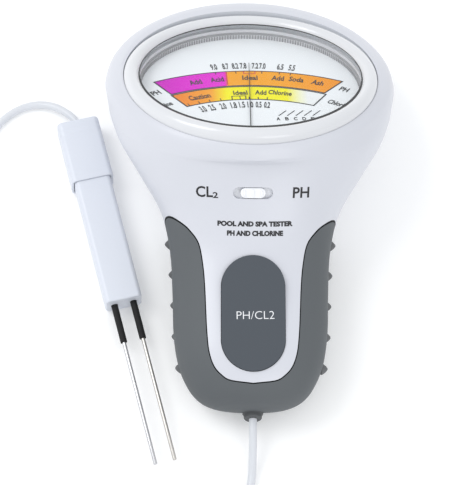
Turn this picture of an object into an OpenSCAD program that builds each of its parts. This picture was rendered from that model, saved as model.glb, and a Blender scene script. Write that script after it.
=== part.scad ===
// Hand-held pool and spa water tester: a needle meter in a round tilted head, a gripped handle
// with one large button, and a two-rod probe on a curly cord. It lies on its flat back at z = 0,
// with the head towards +Y, the cord end towards -Y and the front upwards.

/* [Head] */
// Tilt of the dial away from level, in degrees
dial_tilt = 32.5; // [30:0.5:34]
// Distance of the dial's centre from the middle of the button, along the handle
dial_y = 98; // [97:0.5:99]
// Height of the dial's centre above the back
dial_z = 39; // [38.5:0.5:40]
// Radius of the clear opening in the bezel
window_r = 43.1; // [42.6:0.1:43.4]
// Outer radius of the bezel
bezel_r = 49; // [48.6:0.1:49.4]
// Depth of the dial plate below the middle of the bezel
dial_depth = 5.2; // [5:0.1:5.6]

/* [Shell] */
// Wall thickness of the two housings
wall = 2.4; // [2:0.1:2.8]
// Thickness of the soft grip on the handle
grip_t = 2; // [1.6:0.1:2.2]
// Height of the parting line at the middle of the button
parting_z = 14; // [13:0.5:15]
// Slope of the parting line, in degrees
parting_slope = 4.6; // [4:0.1:5]

/* [Controls] */
// Width of the button
button_w = 23.7; // [22:0.1:24.5]
// Length of the button
button_l = 44; // [43:0.5:46]
// Length of the mode slot
slot_l = 14.7; // [14:0.1:15.5]
// Width of the mode slot
slot_w = 4.4; // [4:0.1:5]
// Travel of the mode slider either way
slider_travel = 2.5; // [1.5:0.1:2.6]

/* [Meter] */
// Distance of the needle's pivot from the dial's centre
pivot_offset = 34; // [33:0.5:35]
// Length of the needle from its pivot
needle_l = 52.5; // [50:0.5:54]
// Radius of the moving coil
coil_r = 6.6; // [6.2:0.1:6.7]

/* [Probe] */
// Length of the probe's cap
cap_l = 26.7; // [25:0.1:28]
// Length of the cap and body together
handle_l = 79.5; // [78:0.5:81]
// Distance between the two rods
rod_gap = 7.4; // [7:0.1:8.2]
// Diameter of each rod
rod_d = 1.56; // [1.4:0.02:1.7]
// Distance of the rods' tips from the top of the cap
tip_l = 146.5; // [140:0.5:150]

/* [Cord] */
// Diameter of the cord
cord_d = 3; // [2.8:0.1:3.2]
// Number of turns in the curly stretch
curl_turns = 18; // [16:1:20]
// Radius of the curly stretch at the middle of the cord
curl_r = 6; // [6:0.1:6.4]
// Pitch of the curly stretch
curl_pitch = 3.6; // [3.4:0.1:3.8]

/* [Hidden] */
$fn = 64;
eps = 0.01;
big = 400;

// Body stations from the cord end to the rim of the head. Each holds the front point and the back
// point in the y-z plane, the half width, and the squareness of the section between them.
stations = [
    [[-29.9, 15], [-29.2, 9.4], 7, 2.2],
    [[-29.3, 19.5], [-27.4, 4.6], 14, 2.2],
    [[-26.8, 24.2], [-24.2, 1], 19.6, 2.3],
    [[-21.4, 28.1], [-19.2, -0.6], 23.8, 2.4],
    [[-13, 31], [-11, -0.8], 27.2, 2.5],
    [[0, 33], [0, -0.8], 29, 2.6],
    [[14, 35], [18, -0.8], 29.5, 2.6],
    [[27, 38.4], [38, -0.8], 30.5, 2.5],
    [[37, 44.4], [58, -0.8], 34, 2.4],
    [[44.5, 51], [80, -0.8], 42.2, 2.3],
    [[49.6, 56.6], [104, -0.8], 50.3, 2.2],
    [[50.2, 59], [129, -0.4], 54.4, 2.1]
];
// Rim stations about the dial's centre: reach and height of the near edge, then of the far edge,
// and the half width
rim = [
    [51.6, -7.5, 62, -4.4, 56],
    [51, -5, 61.2, -0.4, 55],
    [50.4, -3.4, 59.4, 2, 53.2],
    [49.9, -2.4, 56.6, 3.5, 51],
    [49.6, -2, 53, 4, 49.9]
];
section_points = 36;
steps_per_station = 2;
cavity_top = 8.5;

// Half of the outline of the white tongue on the handle's front, from its tip to the head
tongue = [[0, -24.1], [8, -23.1], [11.5, -21.2], [14.4, -17.9], [16.2, -12.6], [17, -5],
    [17.4, 3], [17.8, 12], [18.5, 20], [20.1, 28.2], [23.6, 33.6], [27.4, 37.6], [33, 42.6], [42, 48]];
rear_grip_y = 46;

// Controls on the front
button_slope = 11;
button_y = 1.2;
button_z = 32.9;
button_proud = 1.6;
button_skirt = 3.4;
button_flange = 1.4;
button_gap = 0.3;
slot_slope = 39;
slot_y = 42.5;
slot_z = 49.4;

// Board and switches
board_z = 11;
board_t = 1.6;
board_y = 9.5;
board_w = 40;
board_l = 43;
switch_h = 7;

// Fasteners: x and y of each housing screw, and how far its head is sunk
screw_places = [[-19, -12], [19, -12], [-23, 40], [23, 40], [-29, 98], [29, 98]];
board_screw_places = [[-11, -9], [11, -9], [-17, 26], [17, 26]];
screw_r = 1.25;
screw_head_r = 2.7;
boss_r = 3.4;
core_end = 60;
nub_r = 2.6;
nub_tips = [28.7, 30.1, 30.7, 31.4, 32.9];

// Probe place: the top of its cap, its turn about z, and the height of its rods
probe_at = [-67.3, 94, 0];
probe_turn = 14.1;
probe_axis_z = 5.5;
cap_w = 16.8;
cap_t = 11;
body_w = 14.4;
body_t = 9.6;
sleeve_l = 15.9;

// Cord routes, in round numbers: out of the gland to the curly stretch, and from there to the probe
gland_z = 8.5;
gland_y = -31.4;
curl_y = -76;
curl_z = curl_r + cord_d / 2;
curl_x = -6;
curl_end_x = curl_x - curl_turns * curl_pitch;
tail_route = [[0, -31.4, 8.5], [0, -36, 8.2], [0, -42, 6.2], [0, -48, 3.4], [0, -54, 1.9], [-1, -61, 1.5],
    [-3, -69, 1.5], [-6, -76, 1.5]];
lead_route = [[-71, -76, 1.5], [-73, -82, 1.5], [-78, -87, 1.5], [-87, -89, 1.5], [-97, -84, 1.5],
    [-104, -73, 1.5], [-107, -57, 1.5], [-108, -37, 1.5], [-108, -12, 1.5], [-108, 13, 1.5],
    [-108, 38, 1.5], [-108, 58, 1.5], [-106.5, 76, 1.5], [-103, 89, 1.5], [-98, 97, 1.5],
    [-92, 102.3, 1.5], [-86, 104.8, 1.6], [-80.5, 104.8, 2.2], [-75.5, 102.8, 3.6],
    [-70.8, 99.1, 5], [-68.4, 96.4, 5.5], [-67.3, 94, 5.5]];

/* ---- shared geometry ---- */

function lerp(a, b, t) = a + (b - a) * t;
function unit(v) = v / norm(v);

// A point on the smooth curve through four values
function smooth_mid(p0, p1, p2, p3, t) = 0.5 * (2 * p1 + (p2 - p0) * t
    + (2 * p0 - 5 * p1 + 4 * p2 - p3) * t * t + (3 * p1 - p0 - 3 * p2 + p3) * t * t * t);

// A smooth list through the given values, with extra steps between each pair
function smooth_list(list, steps) = [
    for (i = [0 : len(list) - 2])
        for (k = [0 : steps - 1])
            smooth_mid(list[max(i - 1, 0)], list[i], list[i + 1], list[min(i + 2, len(list) - 1)],
                k / steps),
    list[len(list) - 1]
];

// A solid through rings of points, each ring with the same number of points
module skin(rings) {
    n = len(rings[0]);
    m = len(rings);
    sides = [
        for (i = [0 : m - 2], j = [0 : n - 1])
            each [[i * n + j, i * n + (j + 1) % n, (i + 1) * n + (j + 1) % n],
                [i * n + j, (i + 1) * n + (j + 1) % n, (i + 1) * n + j]]
    ];
    first = [for (j = [n - 1 : -1 : 0]) j];
    last = [for (j = [0 : n - 1]) (m - 1) * n + j];
    polyhedron(points = [for (ring = rings) each ring], faces = concat(sides, [first, last]));
}

// A tube of one radius along a list of points
module tube_along(path, radius, sides) {
    skin([
        for (i = [0 : len(path) - 1])
            let (ahead = unit(path[min(i + 1, len(path) - 1)] - path[max(i - 1, 0)]),
                across = unit(cross(ahead, [0, 0, 1])),
                above = cross(across, ahead))
            [for (j = [0 : sides - 1])
                path[i] + radius * (across * cos(360 * j / sides) + above * sin(360 * j / sides))]
    ]);
}

// A point in the y-z plane from its reach along the dial and its height above it
function from_dial(reach, height) =
    [dial_y + reach * cos(dial_tilt) + height * sin(dial_tilt),
        dial_z - reach * sin(dial_tilt) + height * cos(dial_tilt)];
function rim_station(r) = [from_dial(-r[0], r[1]), from_dial(r[2], r[3]), r[4], 2];

// One ring of the body: a rounded section between its front and back points, never below the back
function body_ring(st, inset) =
    let (depth = norm(st[0] - st[1]) / 2,
        mid = (st[0] + st[1]) / 2,
        dir = (st[0] - st[1]) / (2 * depth),
        a = st[2] - inset,
        b = depth - inset,
        power = 2 / st[3])
    [for (j = [0 : section_points - 1])
        let (t = 360 * j / section_points,
            x = a * sign(cos(t)) * pow(abs(cos(t)), power),
            w = b * sign(sin(t)) * pow(abs(sin(t)), power))
        [x, mid[0] + dir[0] * w, max(mid[1] + dir[1] * w, inset)]];

body_sections = concat(smooth_list(stations, steps_per_station), [for (r = rim) rim_station(r)]);

// The whole outer form of the tester, made smaller all round by an inset. The narrow sections at the
// cord end are left out of the smaller forms, which gives the end its thickness.
module body_form(inset) {
    end_width = 8 + 4 * min(inset, 2.7);
    trimmed = [for (s = body_sections) if (s[2] > end_width || inset == 0) s];
    skin([for (s = trimmed) body_ring(s, inset)]);
}

// The hollow inside, which stops below the head's front ring
module cavity() {
    intersection() {
        translate([0, wall, 0]) body_form(grip_t + wall);
        at_dial() translate([0, 0, -cavity_top - big / 2]) cube([big, big, big], center = true);
    }
    intersection() {
        body_form(wall);
        at_dial() translate([0, 0, -cavity_top - big / 2]) cube([big, big, big], center = true);
        translate([-big / 2, rear_grip_y + grip_t, -big / 2]) cube([big, big, big]);
    }
}

// A freely curved moulding, kept as one faceted skin at its own size
module moulding() {
    resize([0, 0, 0]) children();
}

module at_dial() {
    translate([0, dial_y, dial_z]) rotate([-dial_tilt, 0, 0]) children();
}
module at_pivot() {
    at_dial() translate([0, -pivot_offset, 0]) children();
}
module at_button() {
    translate([0, button_y, button_z]) rotate([button_slope, 0, 0]) children();
}
module at_slot() {
    translate([0, slot_y, slot_z]) rotate([slot_slope, 0, 0]) children();
}
module at_probe() {
    translate(probe_at) rotate([0, 0, probe_turn]) children();
}

// Everything above the parting line
module front_side() {
    translate([0, 0, parting_z]) rotate([-parting_slope, 0, 0])
        translate([-big / 2, -big / 2, 0]) cube([big, big, big]);
}
module rear_side() {
    translate([0, 0, parting_z]) rotate([-parting_slope, 0, 0])
        translate([-big / 2, -big / 2, -big]) cube([big, big, big]);
}

// The part of the handle that the soft grip covers
module grip_space() {
    outline = smooth_list(tongue, 2);
    reach = 60;
    intersection() {
        front_side();
        translate([0, 0, -eps]) linear_extrude(80)
            polygon(concat([[-reach, -reach], [reach, -reach], [reach, 50]],
                [for (i = [len(outline) - 1 : -1 : 0]) outline[i]],
                [for (p = outline) [-p[0], p[1]]], [[-reach, 50]]));
    }
    intersection() {
        translate([0, 0, 0.2]) rear_side();
        translate([-reach, -reach, -reach]) cube([2 * reach, reach + rear_grip_y, 2 * reach]);
    }
}

module ring(outer, inner, low, high) {
    translate([0, 0, low]) difference() {
        cylinder(r = outer, h = high - low);
        translate([0, 0, -1]) cylinder(r = inner, h = high - low + 2);
    }
}

module stadium(w, l, h) {
    linear_extrude(h) union() {
        square([w, l - w], center = true);
        for (s = [-1, 1]) translate([0, s * (l - w) / 2]) circle(d = w);
    }
}

/* ---- housings and grip ---- */

// The shell before it is parted, with the grip's recess
module hard_shell() {
    difference() {
        union() {
            difference() {
                body_form(0);
                grip_space();
            }
            difference() {
                body_form(grip_t);
                translate([-big / 2, core_end, -big / 2]) cube(big);
            }
        }
        cavity();
    }
}

// Bosses in the head are short, because the meter and the dial are above them
module boss(place) {
    translate([place[0], place[1], -1])
        cylinder(r = boss_r, h = place[1] > 60 ? 17 : 50, $fn = 32);
}

module front_housing() color([0.87, 0.88, 0.91]) moulding() {
    difference() {
        intersection() {
            union() {
                hard_shell();
                housing_bosses();
            }
            front_side();
        }
        at_dial() {
            translate([0, 0, -3]) cylinder(r = bezel_r + 0.1, h = 20, $fn = 72);
            translate([0, 0, -dial_depth - 0.8]) cylinder(r = window_r + 1.5, h = 20, $fn = 72);
            translate([0, 0, -20]) cylinder(r = window_r - 1.6, h = 20, $fn = 72);
        }
        at_button() translate([0, 0, -6])
            stadium(button_w + 2 * button_gap, button_l + 2 * button_gap, 20);
        at_button() translate([0, 0, -16])
            stadium(button_w + 4, button_l + 4, 16 - wall);
        at_slot() translate([0, 0, -3]) linear_extrude(10) stadium_flat(slot_l, slot_w);
        at_slot() translate([-14.4, -5.5, -14]) cube([28.8, 11, 14 - wall]);
        for (p = screw_places) translate([p[0], p[1], -1])
            cylinder(r = screw_r + 0.05, h = 24, $fn = 24);
    }
}

// The screw bosses, each rooted half way through the wall it stands on
module housing_bosses() {
    for (p = screw_places) intersection() {
        body_form(p[1] > 60 ? wall / 2 : grip_t + wall / 2);
        boss(p);
    }
}

module stadium_flat(l, w) {
    square([l - w, w], center = true);
    for (s = [-1, 1]) translate([s * (l - w) / 2, 0]) circle(d = w, $fn = 32);
}

module rear_housing() color([0.85, 0.86, 0.89]) moulding() {
    difference() {
        intersection() {
            union() {
                hard_shell();
                housing_bosses();
                for (p = board_screw_places) translate([p[0], p[1], grip_t + wall / 2])
                    cylinder(r = 2.6, h = board_z - grip_t - wall / 2, $fn = 32);
            }
            rear_side();
        }
        for (p = screw_places) translate([p[0], p[1], -1]) {
            cylinder(r = screw_r + 0.25, h = 40, $fn = 24);
            cylinder(r = screw_head_r + 0.2, h = 1 + screw_seat(p), $fn = 32);
        }
        for (p = board_screw_places) translate([p[0], p[1], 3])
            cylinder(r = 0.9, h = 20, $fn = 24);
        translate([0, -18, gland_z]) rotate([90, 0, 0]) cylinder(r = 3, h = 30, $fn = 48);
    }
}

// Height of the seat under each screw's head
function screw_seat(p) = p[1] > 60 ? 4.9 : p[1] > 0 ? 6.6 : 4.6;

module grip_boot() color([0.43, 0.46, 0.48]) moulding() {
    difference() {
        union() {
            intersection() {
                difference() {
                    body_form(0);
                    body_form(grip_t);
                }
                grip_space();
            }
            for (s = [-1, 1], k = [0 : 4])
                intersection() {
                    translate([s * (nub_tips[k] - nub_r), -12.6 + 12.85 * k, 12.5])
                        sphere(r = nub_r, $fn = 24);
                    translate([s * (30 + nub_tips[k] - nub_r), 0, 12]) cube([60, 200, 60], center = true);
                }
        }
        translate([0, -18, gland_z]) rotate([90, 0, 0]) cylinder(r = 4.1, h = 30, $fn = 48);
        for (p = screw_places) translate([p[0], p[1], -1])
            cylinder(r = screw_head_r + 0.2, h = 11, $fn = 32);
    }
}

/* ---- window and dial ---- */

module bezel_ring() color([0.93, 0.94, 0.96]) at_dial() rotate_extrude($fn = 120) difference() {
    union() {
        translate([window_r + 2.9, 0]) circle(r = 3, $fn = 48);
        translate([window_r, -3]) square([bezel_r - window_r, 3]);
    }
    translate([window_r - 1, -4]) square([2.4, 4.8]);
    translate([bezel_r, -5]) square([10, 20]);
    translate([window_r - 5, -5]) square([5, 20]);
    translate([window_r - 1, -10]) square([20, 7]);
}

module window_lens() color([0.85, 0.9, 0.92, 0.35]) at_dial()
    translate([0, 0, -1]) cylinder(r = window_r + 1.35, h = 1.8, $fn = 120);

module lens_gasket() color([0.2, 0.2, 0.22]) at_dial()
    ring(window_r + 1.3, window_r - 0.5, -1.4, -1, $fn = 120);

// The white inner wall between the window and the dial, with fine upright ribs on its lower half
module dial_wall() color([0.8, 0.81, 0.83]) at_dial() difference() {
    ring(window_r + 1.3, window_r - 0.9, -dial_depth, -1.4, $fn = 120);
    for (k = [0 : 59]) rotate([0, 0, 6 * k]) translate([window_r - 1.2, -0.35, -dial_depth - 1])
        cube([0.6, 0.7, 3]);
}

module dial_plate() color([0.96, 0.96, 0.94]) at_dial() difference() {
    translate([0, 0, -dial_depth - 0.8]) cylinder(r = window_r + 1.3, h = 0.8, $fn = 120);
    translate([0, -pivot_offset, -10]) cylinder(r = 2.6, h = 10);
}

/* ---- meter movement, about the pivot axis ---- */

frame_low = -21.5;
frame_high = -9.2;
ear_z = -8.5;

module meter_frame() color([0.72, 0.68, 0.5]) at_pivot() difference() {
    union() {
        translate([-15, -7, frame_low]) cube([30, 17, 2]);
        for (s = [-1, 1]) translate([s * 14 - 1, -4, frame_low]) cube([2, 8, frame_high - frame_low]);
        translate([-15, -4, frame_high - 1.4]) cube([30, 8, 1.4]);
        for (s = [-1, 1]) {
            translate([s * 18 - 4, -11.5, ear_z - 1.6]) cube([8, 8, 1.6]);
            translate([s * 15 - 1, -9, frame_low]) cube([2, 5, ear_z - frame_low]);
        }
    }
    translate([0, 0, frame_high - 5]) cylinder(r = 1.5, h = 8, $fn = 32);
    translate([0, 0, frame_low - 1]) cylinder(r = 1.5, h = 5, $fn = 32);
    for (s = [-1, 1]) translate([s * 18.5, -8.5, ear_z - 4]) cylinder(r = 1.1, h = 8, $fn = 24);
}

module meter_yoke() color([0.5, 0.5, 0.52]) at_pivot() ring(9.6, 7.4, frame_low + 2, frame_low + 9);

// The round magnet inside the coil, carried by a bar across the yoke
module meter_core() color([0.35, 0.35, 0.37]) at_pivot() union() {
    translate([0, 0, -17.7]) cylinder(r = 4.9, h = 3.8);
    translate([-1.5, -7.4, -17.2]) cube([3, 14.8, 3]);
}

module top_bearing() color([0.75, 0.6, 0.3]) at_pivot() difference() {
    translate([0, 0, frame_high - 1.4]) cylinder(r = 1.5, h = 1.8, $fn = 32);
    translate([0, 0, frame_high - 3]) cylinder(r = 0.63, h = 8, $fn = 32);
}

module bottom_bearing() color([0.75, 0.6, 0.3]) at_pivot() difference() {
    translate([0, 0, frame_low]) cylinder(r = 1.5, h = 2.2, $fn = 32);
    translate([0, 0, frame_low + 1]) cylinder(r = 0.63, h = 8, $fn = 32);
}

module meter_screws() color([0.7, 0.7, 0.72]) at_pivot() for (s = [-1, 1])
    translate([s * 18.5, -8.5, ear_z - 1.6]) union() {
        translate([0, 0, -1.4]) difference() {
            cylinder(r = 2, h = 1.4, $fn = 32);
            translate([-3, -0.3, -1]) cube([6, 0.6, 1.6]);
        }
        cylinder(r = 1.05, h = 1.6, $fn = 24);
    }

// A rectangular winding that stands round the magnet
module moving_coil() color([0.72, 0.4, 0.2]) at_pivot() difference() {
    translate([-coil_r, -1.7, -18.9]) cube([2 * coil_r, 3.4, 6.2]);
    translate([-coil_r + 1, -3, -18]) cube([2 * coil_r - 2, 6, 4.4]);
}

module coil_spindle() color([0.6, 0.6, 0.62]) at_pivot() union() {
    translate([0, 0, -20.2]) cylinder(r = 0.58, h = 1.3, $fn = 32);
    translate([0, 0, -12.7]) cylinder(r = 0.58, h = 8.1, $fn = 32);
}

module pointer() color([0.08, 0.08, 0.09]) at_pivot() translate([0, 0, -4.6]) union() {
    cylinder(r = 1.6, h = 0.9, $fn = 32);
    linear_extrude(0.4) polygon([[-0.5, 0], [-0.3, needle_l], [0.3, needle_l], [0.5, 0]]);
    linear_extrude(0.5) polygon([[-0.6, 0], [-1.3, -6], [1.3, -6], [0.6, 0]]);
}

function spiral_ring(turns, inner, outer, per_turn) = [
    for (i = [0 : turns * per_turn])
        let (r = lerp(inner, outer, i / (turns * per_turn)), t = 360 * i / per_turn)
        [r * cos(t), r * sin(t)]
];

module flat_spiral(height) {
    inside = spiral_ring(3, 1, 4.4, 16);
    outside = spiral_ring(3, 1.25, 4.65, 16);
    linear_extrude(height) polygon(concat(outside, [for (i = [len(inside) - 1 : -1 : 0]) inside[i]]));
}

module hair_springs() color([0.8, 0.65, 0.35]) at_pivot() {
    translate([0, 0, -12.2]) flat_spiral(0.5);
    translate([0, 0, -11.2]) mirror([1, 0, 0]) flat_spiral(0.5);
}

/* ---- button and its switch ---- */

module mode_button() color([0.32, 0.35, 0.38]) at_button() difference() {
    union() {
        translate([0, 0, -button_skirt]) stadium(button_w, button_l, button_skirt + button_proud);
        translate([0, 0, -button_skirt - button_flange])
            stadium(button_w + 2.6, button_l + 2.6, button_flange);
    }
    translate([0, 0, -button_skirt - button_flange - eps])
        stadium(button_w - 4, button_l - 4, button_skirt + button_flange);
}

plunger_low = board_z + board_t + switch_h - 2 - button_z;

module switch_plunger() color([0.9, 0.9, 0.88]) at_button()
    translate([0, 0, plunger_low]) cylinder(r = 1.7, h = -plunger_low, $fn = 32);

module push_switch() color([0.15, 0.15, 0.16]) at_button() difference() {
    translate([-6, -6, plunger_low - 4.1]) cube([12, 12, 6.1]);
    translate([0, 0, plunger_low - 3]) cylinder(r = 1.75, h = 10, $fn = 32);
}

spring_turns = 4;
spring_low = plunger_low + 2;
module button_spring() color([0.75, 0.75, 0.78]) at_button() {
    points_per_turn = 12;
    count = spring_turns * points_per_turn;
    tube_along([
        for (i = [0 : count])
            [3.6 * cos(360 * i / points_per_turn), 3.6 * sin(360 * i / points_per_turn),
                lerp(spring_low + 0.35, -0.35, i / count)]
    ], 0.3, 6);
}

/* ---- mode slider ---- */

module mode_slider() color([0.9, 0.9, 0.92]) at_slot() union() {
    translate([0, 0, -1.9]) linear_extrude(2.2)
        stadium_flat(slot_l - 2 * slider_travel - 0.4, slot_w - 0.5);
    translate([-10.2, -4.4, -wall - 1.3]) cube([20.4, 8.8, 1.2]);
    translate([-2.5, -1.2, -wall - 0.2]) cube([5, 2.4, 1]);
    for (k = [-1 : 1]) translate([2.6 * k - 0.35, -1.5, 0.2]) cube([0.7, 3, 0.5]);
    translate([-1.4, -1.4, -wall - 4.4]) cube([2.8, 2.8, 3.2]);
}

module slide_switch() color([0.2, 0.2, 0.22]) at_slot() difference() {
    union() {
        translate([-9, -3.2, -wall - 7]) cube([18, 6.4, 4]);
        translate([-13.9, -4, -wall - 3.6]) cube([27.8, 8, 0.8]);
        for (s = [-1, 1]) translate([s * 13.4 - 0.5, -4, -wall - 3.6]) cube([1, 8, 3.6]);
    }
    translate([-4.6, -1.6, -wall - 5.4]) cube([9.2, 3.2, 4]);
}

/* ---- board ---- */

module circuit_board() color([0.2, 0.42, 0.25]) difference() {
    translate([-board_w / 2, board_y - board_l / 2, board_z]) cube([board_w, board_l, board_t]);
    for (p = board_screw_places) translate([p[0], p[1], 0]) cylinder(r = 1.1, h = 30, $fn = 24);
    for (p = screw_places) translate([p[0], p[1], 0]) cylinder(r = boss_r + 0.5, h = 30, $fn = 24);
}

module board_screws() color([0.7, 0.7, 0.72]) for (p = board_screw_places)
    translate([p[0], p[1], 0]) {
        translate([0, 0, 6]) cylinder(r = 0.85, h = board_z + board_t - 6, $fn = 24);
        translate([0, 0, board_z + board_t]) difference() {
            cylinder(r = 1.9, h = 1.3, $fn = 32);
            translate([-3, -0.25, 0.7]) cube([6, 0.5, 2]);
        }
    }

// The two screws in the head have thin heads, because the shell is shallow there
function head_h(p) = p[1] > 60 ? 1.2 : 2;
function screw_end(p) = p[1] > 60 ? 14.4 : 15.6;

module housing_screws() color([0.6, 0.6, 0.62]) for (p = screw_places)
    translate([p[0], p[1], screw_seat(p)]) difference() {
        union() {
            translate([0, 0, -head_h(p)]) cylinder(r = screw_head_r, h = head_h(p), $fn = 32);
            cylinder(r = screw_r, h = screw_end(p) - screw_seat(p), $fn = 24);
        }
        for (a = [0, 90]) rotate([0, 0, a]) translate([-1.6, -0.3, -head_h(p) - 1])
            cube([3.2, 0.6, 1 + head_h(p) / 2]);
    }

trimmer_places = [[-12, 20], [12, 20]];
board_top = board_z + board_t;

module trimmer_bodies() color([0.15, 0.3, 0.6]) for (p = trimmer_places)
    translate([p[0], p[1], board_top]) difference() {
        translate([-3.4, -3.4, 0]) cube([6.8, 6.8, 4]);
        translate([0, 0, 2.4]) cylinder(r = 2.55, h = 4, $fn = 32);
    }

module trimmer_rotor(p) translate([p[0], p[1], board_top + 2.4]) difference() {
    cylinder(r = 2.5, h = 1.9, $fn = 32);
    translate([-2, -0.35, 1.2]) cube([4, 0.7, 2]);
}
module trimmer_ph() color([0.9, 0.88, 0.8]) trimmer_rotor(trimmer_places[0]);
module trimmer_chlorine() color([0.9, 0.88, 0.8]) trimmer_rotor(trimmer_places[1]);

module resistors() color([0.8, 0.7, 0.5]) for (k = [0 : 2]) translate([3.5 * k - 16, -1, board_top])
    union() {
        translate([0, 3.2, 1.2]) rotate([90, 0, 0]) cylinder(r = 1.1, h = 6.4, $fn = 24);
        for (s = [-1, 1]) translate([0, s * 4.2, 0]) cylinder(r = 0.3, h = 1.5, $fn = 16);
        translate([0, 4.5, 1.2]) rotate([90, 0, 0]) cylinder(r = 0.3, h = 9, $fn = 16);
    }

module capacitors() color([0.2, 0.22, 0.3]) for (k = [0 : 1]) translate([9 + 6 * k, -2, board_top])
    cylinder(r = 2.4, h = 6, $fn = 32);

module meter_leads() color([0.75, 0.12, 0.1]) for (s = [-1, 1])
    tube_along(smooth_list([[s * 6, 27, board_top + 0.6], [s * 7, 33, board_top + 3], [s * 7, 42, 20],
        [s * 6, 52, 30], [s * 5, 57, 38.4]], 3), 0.6, 8);

/* ---- cord ---- */

module cord_gland() color([0.3, 0.32, 0.34]) translate([0, gland_y, gland_z]) rotate([-90, 0, 0])
    difference() {
        union() {
            cylinder(r1 = 3, r2 = 3.9, h = 1, $fn = 48);
            translate([0, 0, 1]) cylinder(r = 3.9, h = 2.5, $fn = 48);
            translate([0, 0, 3.5]) cylinder(r = 2.9, h = 7.3, $fn = 48);
            translate([0, 0, 10.8]) cylinder(r = 3.9, h = 1.5, $fn = 48);
        }
        translate([0, 0, -1]) cylinder(r = cord_d / 2, h = 20, $fn = 32);
    }

// The bar that holds the cord's sheath inside the handle
module cord_clamp() color([0.85, 0.86, 0.88]) translate([-5, -16.6, 4.5]) difference() {
    cube([10, 4, 6.5]);
    translate([5, -1, gland_z - 4.5]) rotate([-90, 0, 0]) cylinder(r = cord_d / 2, h = 6, $fn = 32);
}

module cord_tail() color([0.9, 0.91, 0.94]) union() {
    tube_along(smooth_list(tail_route, 2), cord_d / 2, 8);
    translate([0, gland_y, gland_z]) rotate([-90, 0, 0]) cylinder(r = cord_d / 2, h = 19, $fn = 32);
}

module cord_curl() color([0.9, 0.91, 0.94]) translate([curl_x, curl_y, curl_z]) rotate([0, -90, 0])
    ring(curl_r + cord_d / 2, curl_r - cord_d / 2, -cord_d / 2, curl_x - curl_end_x + cord_d / 2);

module cord_lead() color([0.9, 0.91, 0.94])
    tube_along(smooth_list(lead_route, 3), cord_d / 2, 8);

/* ---- probe ---- */

module rounded_bar(w, t, from, to, low, radius) {
    translate([0, from, low + t / 2]) rotate([90, 0, 0]) linear_extrude(from - to) union() {
        square([w - 2 * radius, t], center = true);
        square([w, t - 2 * radius], center = true);
        for (sx = [-1, 1], sz = [-1, 1]) translate([sx * (w / 2 - radius), sz * (t / 2 - radius)])
            circle(r = radius, $fn = 32);
    }
}

module probe_bush() color([0.82, 0.88, 0.95]) at_probe() translate([0, 1.2, probe_axis_z])
    rotate([90, 0, 0]) difference() {
        cylinder(r = 2, h = 6, $fn = 32);
        translate([0, 0, 1.2]) cylinder(r = cord_d / 2, h = 9, $fn = 32);
        translate([0, 0, -1]) cylinder(r = cord_d / 2 + 0.1, h = 2.3, $fn = 32);
    }

module probe_cap() color([0.86, 0.88, 0.92]) at_probe() difference() {
    rounded_bar(cap_w, cap_t, 0, -cap_l, 0, 2.2);
    rounded_bar(body_w + 0.1, body_t + 0.1, -3, -cap_l - 1, probe_axis_z - body_t / 2 - 0.05, 1.9);
    translate([0, 1, probe_axis_z]) rotate([90, 0, 0]) cylinder(r = 2, h = 8, $fn = 32);
}

module probe_body() color([0.86, 0.88, 0.92]) at_probe() difference() {
    rounded_bar(body_w, body_t, -5, -handle_l, probe_axis_z - body_t / 2, 1.9);
    rounded_bar(body_w - 3, body_t - 3, -4, -handle_l + 9, probe_axis_z - body_t / 2 + 1.5, 2);
    for (s = [-1, 1]) translate([s * rod_gap / 2, -handle_l + 20, probe_axis_z]) rotate([90, 0, 0])
        cylinder(r = 1.3, h = 30, $fn = 32);
}

module electrode_block() color([0.75, 0.75, 0.72]) at_probe() difference() {
    translate([-4.9, -handle_l + 9, probe_axis_z - 2.2]) cube([9.8, 5, 4.4]);
    for (s = [-1, 1]) translate([s * rod_gap / 2, 0, probe_axis_z]) rotate([90, 0, 0])
        cylinder(r = rod_d / 2, h = 100, $fn = 24);
}

module probe_wires() color([0.75, 0.12, 0.1]) at_probe() for (s = [-1, 1])
    tube_along(smooth_list([[s * 0.7, -4.8, probe_axis_z], [s * 1, -14, probe_axis_z],
        [s * 2.6, -28, probe_axis_z], [s * 3.6, -42, probe_axis_z],
        [s * rod_gap / 2, -50, probe_axis_z]], 3), 0.6, 8);

module sleeve(s) at_probe() translate([s * rod_gap / 2, -handle_l + 8.9, probe_axis_z])
    rotate([90, 0, 0]) difference() {
        cylinder(r = 1.3, h = sleeve_l + 8.9, $fn = 32);
        translate([0, 0, -1]) cylinder(r = rod_d / 2, h = 40, $fn = 24);
    }
module sleeve_left() color([0.1, 0.1, 0.11]) sleeve(-1);
module sleeve_right() color([0.1, 0.1, 0.11]) sleeve(1);

module electrode(s) at_probe() translate([s * rod_gap / 2, -50, probe_axis_z]) rotate([90, 0, 0])
    union() {
        cylinder(r = rod_d / 2, h = tip_l - 50.4, $fn = 24);
        translate([0, 0, tip_l - 50.4]) cylinder(r1 = rod_d / 2, r2 = rod_d / 4, h = 0.4, $fn = 24);
    }
module electrode_left() color([0.75, 0.76, 0.78]) electrode(-1);
module electrode_right() color([0.72, 0.68, 0.6]) electrode(1);

front_housing();
rear_housing();
grip_boot();
bezel_ring();
window_lens();
lens_gasket();
dial_wall();
dial_plate();
meter_frame();
meter_yoke();
meter_core();
top_bearing();
bottom_bearing();
meter_screws();
moving_coil();
coil_spindle();
pointer();
hair_springs();
mode_button();
switch_plunger();
button_spring();
push_switch();
mode_slider();
slide_switch();
circuit_board();
board_screws();
housing_screws();
trimmer_bodies();
trimmer_ph();
trimmer_chlorine();
resistors();
capacitors();
meter_leads();
cord_gland();
cord_clamp();
cord_tail();
cord_curl();
cord_lead();
probe_bush();
probe_cap();
probe_body();
electrode_block();
probe_wires();
sleeve_left();
sleeve_right();
electrode_left();
electrode_right();
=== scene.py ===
import math

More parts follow.
